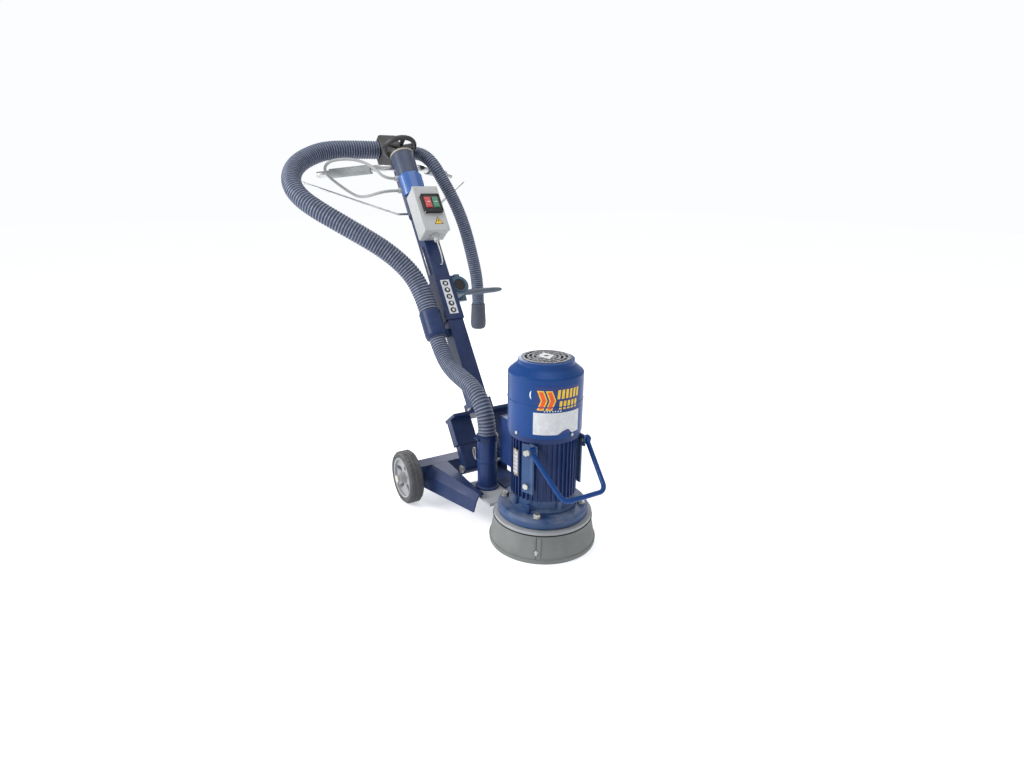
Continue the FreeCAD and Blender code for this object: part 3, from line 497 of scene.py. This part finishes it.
def make_cords():
    upper = hose("hose_upper", UPPER_ROUTE, diameter=64, pitch=9.6, depth=2.6)
    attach(upper, "column")
    tail = hose("hose_tail", TAIL_ROUTE, diameter=46, pitch=7.6, depth=1.8)
    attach(tail, "column")
    lower = hose("hose_lower", LOWER_ROUTE, diameter=54, pitch=9.0, depth=2.3)
    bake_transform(lower)
    controls = [machine(*p) for p in CABLE_ROUTE]
    path, length = even(spline_points("control_cable", controls, SMOOTHNESS), 0.004)
    cable = tube("control_cable_line", path, lambda i: 0.005, MATERIALS["cable_grey"], 20)
    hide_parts("control_cable")
    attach(cable, "column")


make_cords()


# ---------------------------------------------------------------- stickers on round and flat faces
STICKER = 0.12       # thickness of a bent sticker
SLEEVE_FRONT = 31.2  # the front faces, from the column's own axis
BOX_FRONT = 93.2


def wrap(name, outline, radius, centre_angle, material, body, lift, fine=3.0):
    """A thin patch bent round the motor's axis.  The outline is (across, up) in millimetres,
    across from centre_angle and up from the floor; a grid of points inside lets it bend."""
    dense = []
    for (x0, y0), (x1, y1) in zip(outline, outline[1:] + outline[:1]):
        steps = max(1, round(math.hypot(x1 - x0, y1 - y0) / fine))
        dense += [(x0 + (x1 - x0) * i / steps, y0 + (y1 - y0) * i / steps) for i in range(steps)]
    low_x = min(p[0] for p in dense)
    high_x = max(p[0] for p in dense)
    low_y = min(p[1] for p in dense)
    high_y = max(p[1] for p in dense)
    inner = []
    x = low_x + fine
    while x < high_x:
        y = low_y + fine * 2
        while y < high_y:
            if min((x - a) ** 2 + (y - b) ** 2 for a, b in dense) > (fine * 0.4) ** 2:
                inner.append((x, y))
            y += fine * 2
        x += fine
    edges = [(i, (i + 1) % len(dense)) for i in range(len(dense))]
    verts, _, faces, *_ = geometry.delaunay_2d_cdt([Vector(p) for p in dense + inner], edges,
                                                   [list(range(len(dense)))], 1, 1e-4)
    places = []
    for v in verts:
        angle = math.radians(centre_angle) + v.x / radius
        r = radius + lift + STICKER
        places.append(machine(r * math.cos(angle), r * math.sin(angle), v.y))
    mesh_object(name, places, [tuple(f) for f in faces], material, body, smooth=True)


def oval(cx, cy, rx, ry, count=24, start=0.0, end=360.0):
    """An ellipse's outline, or an arc of it from start to end in degrees."""
    return [(cx + rx * math.cos(math.radians(start + (end - start) * i / count)),
             cy + ry * math.sin(math.radians(start + (end - start) * i / count)))
            for i in range(count)]


def strip(x0, y0, x1, y1, lean=0.0):
    """A rectangle whose top edge is moved sideways by lean."""
    return [(x0, y0), (x1, y0), (x1 + lean, y1), (x0 + lean, y1)]


def cowl_art():
    """Plain coloured shapes on the cowl: two chevrons, bars and a blank label."""
    cowl_radius = 100.8
    side = -26.0

    def put(name, outline, material, lift, fine=3.0):
        wrap("decal_" + name, outline, cowl_radius, side, material, "chassis", lift, fine)

    put("field", strip(-41, 412, 84, 478), ROYAL, 0.1)
    put("label", strip(-45, 349, 88, 409), PAPER, 0.15)
    put("label_notch", [(20, 349), (62, 349), (50, 362), (34, 358)], ROYAL, 0.3)
    tip = 442
    for i, x in enumerate((-36, -14)):
        rim = [(x, 416), (x + 17, 416), (x + 27, tip), (x + 17, 468), (x, 468), (x + 10, tip)]
        middle = [(x + 4.5, 419), (x + 15, 419), (x + 23.5, tip), (x + 15, 465), (x + 4.5, 465),
                  (x + 13, tip)]
        put(f"chevron_rim_{i}", rim, YELLOW, 0.3)
        put(f"chevron_{i}", middle, ORANGE, 0.55)
    bar_width = 7.4
    bar_pitch = 11.5
    for row, (low, high, count) in enumerate(((446, 470, 6), (418, 440, 5))):
        for i in range(count):
            x = 16 + row * 5 + i * bar_pitch
            put(f"bar_{row}_{i}", strip(x, low, x + bar_width, high, 2.0), YELLOW, 0.35)
    for i in range(7):
        put(f"dot_{i}", oval(-16 + i * 7.0, 413.6, 1.7, 1.7, 10), PALE, 0.35)
    crescent = oval(-50, 455, 6, 11, 16, 90, 270) + oval(-50, 455, 2.5, 11, 12, 270, 90)
    put("crescent", crescent, PALE, 0.2, fine=2.0)


def flat_patch(name, outline, to_world, material, body):
    """A flat patch without thickness; to_world takes the outline's two numbers."""
    points = [to_world(*p) for p in outline]
    mesh_object(name, points, [tuple(range(len(points)))], material, body)


def on_column_front(x):
    """For a front face x from the column's axis: on(lift) places a patch just above it."""
    return lambda lift: lambda y, s: column(x + lift, y, s)


def sleeve_art():
    """A pale strip on the column's front with five plain dark discs, each with a pale mark."""
    on = on_column_front(SLEEVE_FRONT)
    flat_patch("sleeve_strip", strip(-16, 308, 16, 432), on(0.15), PAPER, "column")
    for i in range(5):
        s = 321 + i * 24.5
        flat_patch(f"sleeve_icon_{i}", oval(0, s, 10.5, 9.5, 24), on(0.30), INK, "column")
        if i % 2:
            flat_patch(f"sleeve_mark_{i}", oval(1, s + 1, 4.2, 5.0, 20), on(0.45), PAPER, "column")
        else:
            square = [(-4, s - 4), (4, s - 5), (5, s + 3), (-3, s + 5)]
            flat_patch(f"sleeve_mark_{i}", square, on(0.45), PAPER, "column")


def box_art():
    """Plain yellow triangle on the switch box, its cover screws, the frame round its buttons and
    a raised rib on each button's cap."""
    on = on_column_front(BOX_FRONT)
    sign_y = 12.0
    sign_s = 616

    def triangle(size):
        low = sign_s - size * 0.58
        return [(sign_y - size, low), (sign_y + size, low), (sign_y, sign_s + size * 1.16)]

    flat_patch("sign_border", triangle(16), on(0.12), BLACK, "column")
    flat_patch("sign_field", triangle(12.4), on(0.25), YELLOW, "column")
    flat_patch("sign_mark", strip(sign_y - 1.4, sign_s - 1, sign_y + 1.4, sign_s + 8), on(0.38),
               BLACK, "column")
    screw = [(0, -1.5), (4, -1.5), (4, 0.5), (3.2, 1.0), (1.2, 1.0), (1.2, 0.4), (0, 0.4)]
    for y in (-37, 37):
        for s in (594, 744):
            turned(f"cover_screw_{y}_{s}", screw, column(BOX_FRONT, y, s), AHEAD,
                   MATERIALS["gland_grey"], "column", 20)
    box("station_face", (BOX_FRONT + 12.05, -26.5, 651.5), (BOX_FRONT + 12.6, 32.5, 659.5), column,
        BLACK, "column")
    for name, y0, s0, y1, s1 in (("left", -30.4, 650, -22.7, 714), ("middle", 0.5, 650, 3.5, 714),
                                 ("right", 26.7, 650, 36.4, 714), ("top", -29, 702.7, 35, 716.4),
                                 ("bottom", -29, 647.6, 35, 661.3)):
        box(f"station_{name}", (BOX_FRONT - 0.3, y0, s0), (BOX_FRONT + 12.9, y1, s1), column,
            BLACK, "column", edge=0.0012)
    for y in (-11, 15):
        box(f"cap_rib_{y}", (BOX_FRONT + 17.0, y - 5.5, 681), (BOX_FRONT + 17.7, y + 5.5, 683),
            column, PALE, "column", edge=0.0002)


cowl_art()
sleeve_art()
box_art()


# ---------------------------------------------------------------- small pieces
def nameplate():
    """Blank metal plate with two rivets between the motor's fins, on its right side."""
    radius = 91.6
    wrap("nameplate", strip(-13, 212, 13, 288), radius, -90, BRASS, "chassis", 0.2)
    wrap("nameplate_field", strip(-10, 218, 10, 282), radius, -90, SILVER, "chassis", 0.45)
    for i in range(5):
        z = 228 + i * 11
        wrap(f"nameplate_line_{i}", strip(-8, z, 8, z + 1.2), radius, -90, INK, "chassis", 0.6)
    rivet = [(0, 0), (3.2, 0), (3.0, 1.2), (1.6, 2.2), (0, 2.4)]
    for z in (214.5, 285.5):
        turned(f"nameplate_rivet_{int(z)}", rivet, machine(0, -(radius + 0.2), z),
               Vector((0, -1, 0)), MATERIALS["bolt_steel"], "chassis", 20)


def skirt_details():
    """Seam, lap and spring clip of the wrapped skirt, its rolled hem, and the seal above it."""
    grey = MATERIALS["skirt_grey"]
    steel = MATERIALS["bolt_steel"]
    angle = math.radians(-40)
    out = Vector((math.cos(angle), math.sin(angle), 0))
    side = Vector((-out.y, out.x, 0))

    def on_skirt(across, lift, z):
        climb = min(max(0.0, (z - 12) / 49.5), 1.0)
        radius = 148.0 + (139.0 - 148.0) * climb
        p = out * (radius + lift) + side * across
        return machine(p.x, p.y, z)

    box("skirt_seam", (-0.7, -0.4, 13), (0.7, 0.35, 73), on_skirt, BLACK, "skirt", edge=0.0001)
    box("skirt_lap", (0.9, -0.4, 13), (12, 0.8, 73), on_skirt, grey, "skirt", 0.0003)
    box("skirt_clip", (-5, 0.2, 30), (6, 3.2, 34), on_skirt, steel, "skirt", 0.0005)
    box("skirt_catch", (-2.2, 0.2, 24), (2.8, 4.0, 38), on_skirt, steel, "skirt",
        0.0006)
    seal = [(133.0, 75.6), (139.4, 75.6), (139.8, 76.4), (139.4, 77.4), (133.0, 77.4)]
    turned("skirt_seal", seal, machine(0, 0, 0), UP, BLACK, "skirt", 96)
    roll = [(150.0 + 0.9 * math.cos(a), 10.4 + 1.4 * math.sin(a))
            for a in [math.radians(k * 45) for k in range(-2, 3)]]
    turned("skirt_hem", [(149.0, 9.0)] + roll + [(149.0, 11.8)], machine(0, 0, 0), UP, grey,
           "skirt", 96)


def base_lugs():
    """Two upright blue pegs on the base plate, on opposite sides of the motor."""
    peg = [(0, 115), (6.5, 115), (6, 120), (5.2, 141), (0, 142)]
    for i, angle in enumerate((-58, 122)):
        a = math.radians(angle)
        p = Vector((math.cos(a), math.sin(a), 0)) * 93
        turned(f"base_lug_{i}", peg, machine(p.x, p.y, 0), UP, MATERIALS["paint_motor"],
               "chassis", 24)


def lever_and_flap():
    """Moulded sleeve on the hand lever, and the raised ring and dark middle of the flap."""
    sleeve = [(0, 0), (8.5, 0), (10.5, 4), (10.5, 110), (9.5, 160), (7.0, 184), (3.5, 191),
              (0, 192)]
    turned("lever_sleeve", sleeve, column(-94, 91, 438), Y, MATERIALS["lever_grey"], "lever",
           32)
    flap = column(0.3, 66, 424)
    turned("flap_ring", [(0, 0), (27, 0), (26, 3), (22, 3), (21, 0.6), (0, 0.6)], flap, AHEAD,
           MATERIALS["inlet_blue"], "flap", 48)
    turned("flap_middle", [(0, 0.5), (20, 0.5), (20, 1.1), (0, 1.1)], flap, AHEAD, BLACK,
           "flap", 48)


def port_clip():
    """Sprung wire clip beside the suction port; its points are given from the port's axis."""
    loop = [machine(-195 + x, -70 + y, z) for x, y, z in (
        (-20, -27, 172), (-30, -30, 182), (-33, -31, 204), (-22, -30, 214), (-16, -31, 206),
        (-18, -31, 186), (-14, -30, 176))]
    path = even(spline_points("port_clip", loop, 12), 0.002)[0]
    thing = tube("port_clip", path, lambda i: 0.0014, MATERIALS["bolt_steel"], 12)
    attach(thing, "chassis")


def wheel_details():
    """Rows of small raised blocks round each tyre's tread."""
    count = 36
    sunk, crown = 80.9, 82.35
    rows = [(3.4, -15.5, -9.5), (3.4, 9.5, 15.5), (2.6, -3.4, 3.4)]
    for name, side in (("right", -1), ("left", 1)):
        points = []
        faces = []
        for i in range(count):
            a = 2 * math.pi * i / count
            c, s = math.cos(a), math.sin(a)

            def on_tyre(t, w, r, c=c, s=s, side=side):
                return machine(-386 + r * c - t * s, side * (249 + w), 82 + r * s + t * c)

            for half, near, far in rows:
                p, f = box_mesh((-half, near, sunk), (half, far, crown), on_tyre)
                start = len(points)
                points += p
                faces += [tuple(start + k for k in face) for face in f]
        mesh_object(f"tread_{name}", points, faces, MATERIALS["tyre_rubber"], f"wheel_{name}")


def grille_plate():
    """Diamond-shaped pale plate in the middle of the cowl's grille, with a black disc in its
    middle as painted shade for a dark hole.
    """
    top = 531.7
    angle = math.radians(-20)
    points = []
    for z in (top, top + 1.0):
        for a, b in ((34, 0), (0, 21), (-34, 0), (0, -21)):
            x = a * math.cos(angle) - b * math.sin(angle)
            y = a * math.sin(angle) + b * math.cos(angle)
            points.append(machine(x, y, z))
    badge = mesh_object("grille_badge", points, BOX_FACES, MATERIALS["gland_grey"], "chassis")
    soften(badge, 0.0004)
    # a thin black disc: painted shade standing for the dark inside of the badge's hole
    turned("grille_hole_shade", [(0, 0), (6.5, 0), (6.5, 0.4), (0, 0.4)], machine(0, 0, top + 0.9), UP,
           BLACK, "chassis", 32)


def column_details():
    """Side rod, knob and bolts on the cross plate, sleeve rivets, and the switch box's lead."""
    steel = MATERIALS["bolt_steel"]
    dark = MATERIALS["paint_dark"]
    rod = [column(0, -30.5, s) for s in (470, 500, 540, 575)]
    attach(tube("side_rod", rod, lambda i: 0.0022, MATERIALS["ground_steel"], 12), "column")
    knob = [(0, 0), (5, 0), (5, 3), (8, 5), (8.5, 9), (6, 13), (0, 14)]
    turned("plate_knob", knob, column(12, -38, -26), ALONG, steel, "column", 24)
    bolt = [(0, 0), (7, 0), (7, 4), (5.5, 5.5), (0, 5.5)]
    for y in (-88, 88):
        turned(f"plate_bolt_{y}", bolt, column(-20, y, -26), ALONG, dark, "column", 6)
    rivet = [(0, 0), (3, 0), (2.6, 1.4), (0, 2)]
    for s in (300, 434):
        for y in (-24, 24):
            turned(f"sleeve_rivet_{s}_{y}", rivet, column(SLEEVE_FRONT, y, s), AHEAD, dark,
                   "column", 16)
    lead = [column(*p) for p in ((64, 0, 560), (64, 0, 545), (62, 2, 520), (50, 6, 497),
                                 (36, 8, 486), (27.5, 6, 492))]
    path = even(spline_points("box_lead", lead, 12), 0.003)[0]
    thing = tube("box_lead", path, lambda i: 0.0022, WIRE, 12)
    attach(thing, "column")


nameplate()
skirt_details()
base_lugs()
port_clip()
lever_and_flap()
wheel_details()
grille_plate()
column_details()


# ---------------------------------------------------------------- floor and light
def backdrop():
    """A pale floor that glows a little, so that it runs into the sky without an edge."""
    g = Graph("floor")
    tone = g.mix(g.ramp(g.noise(2.0), 0.3, 0.7), (0.79, 0.79, 0.79), (0.81, 0.81, 0.81))
    g.put(tone, g.skin.inputs["Base Color"])
    g.put((0.93, 0.95, 1.0), g.skin.inputs["Emission Color"])
    g.put(0.50, g.skin.inputs["Emission Strength"])
    g.put(0.9, g.skin.inputs["Roughness"])
    g.put(0.0, g.skin.inputs["Specular IOR Level"])
    data = bpy.data.meshes.new("floor")
    half = 14.0
    level = -0.0006
    corners = [(-half, -half, level), (half, -half, level), (half, half, level),
               (-half, half, level)]
    data.from_pydata(corners, [], [(0, 1, 2, 3)])
    data.materials.append(g.material)
    floor = bpy.data.objects.new("floor", data)
    scene.collection.objects.link(floor)
    world = bpy.data.worlds.new("studio")
    world.use_nodes = True
    tree = world.node_tree
    sky = tree.nodes["Background"]
    sky.inputs["Color"].default_value = (0.97, 0.98, 1.0, 1.0)
    seen = tree.nodes.new("ShaderNodeLightPath").outputs["Is Camera Ray"]
    strength = tree.nodes.new("ShaderNodeMapRange")
    strength.inputs["To Min"].default_value = 0.66
    strength.inputs["To Max"].default_value = 1.0
    tree.links.new(seen, strength.inputs["Value"])
    tree.links.new(strength.outputs[0], sky.inputs["Strength"])
    scene.world = world


def area_light(name, place, target, size, power):
    data = bpy.data.lights.new(name, "AREA")
    data.shape = "RECTANGLE"
    data.size, data.size_y = size
    data.energy = power
    light = bpy.data.objects.new(name, data)
    light.location = place
    light.rotation_mode = "QUATERNION"
    light.rotation_quaternion = (Vector(target) - Vector(place)).to_track_quat("-Z", "Y")
    scene.collection.objects.link(light)


backdrop()
area_light("key", (-0.6, -3.0, 2.0), (0.0, 0, 0.5), (1.6, 1.2), 85)
area_light("top", (0.0, 0.3, 3.4), (0.0, 0, 0.4), (2.2, 2.2), 26)
area_light("rim", (-2.4, 1.6, 1.6), (0, 0, 0.6), (1.2, 1.8), 30)
scene.view_settings.view_transform = "Standard"
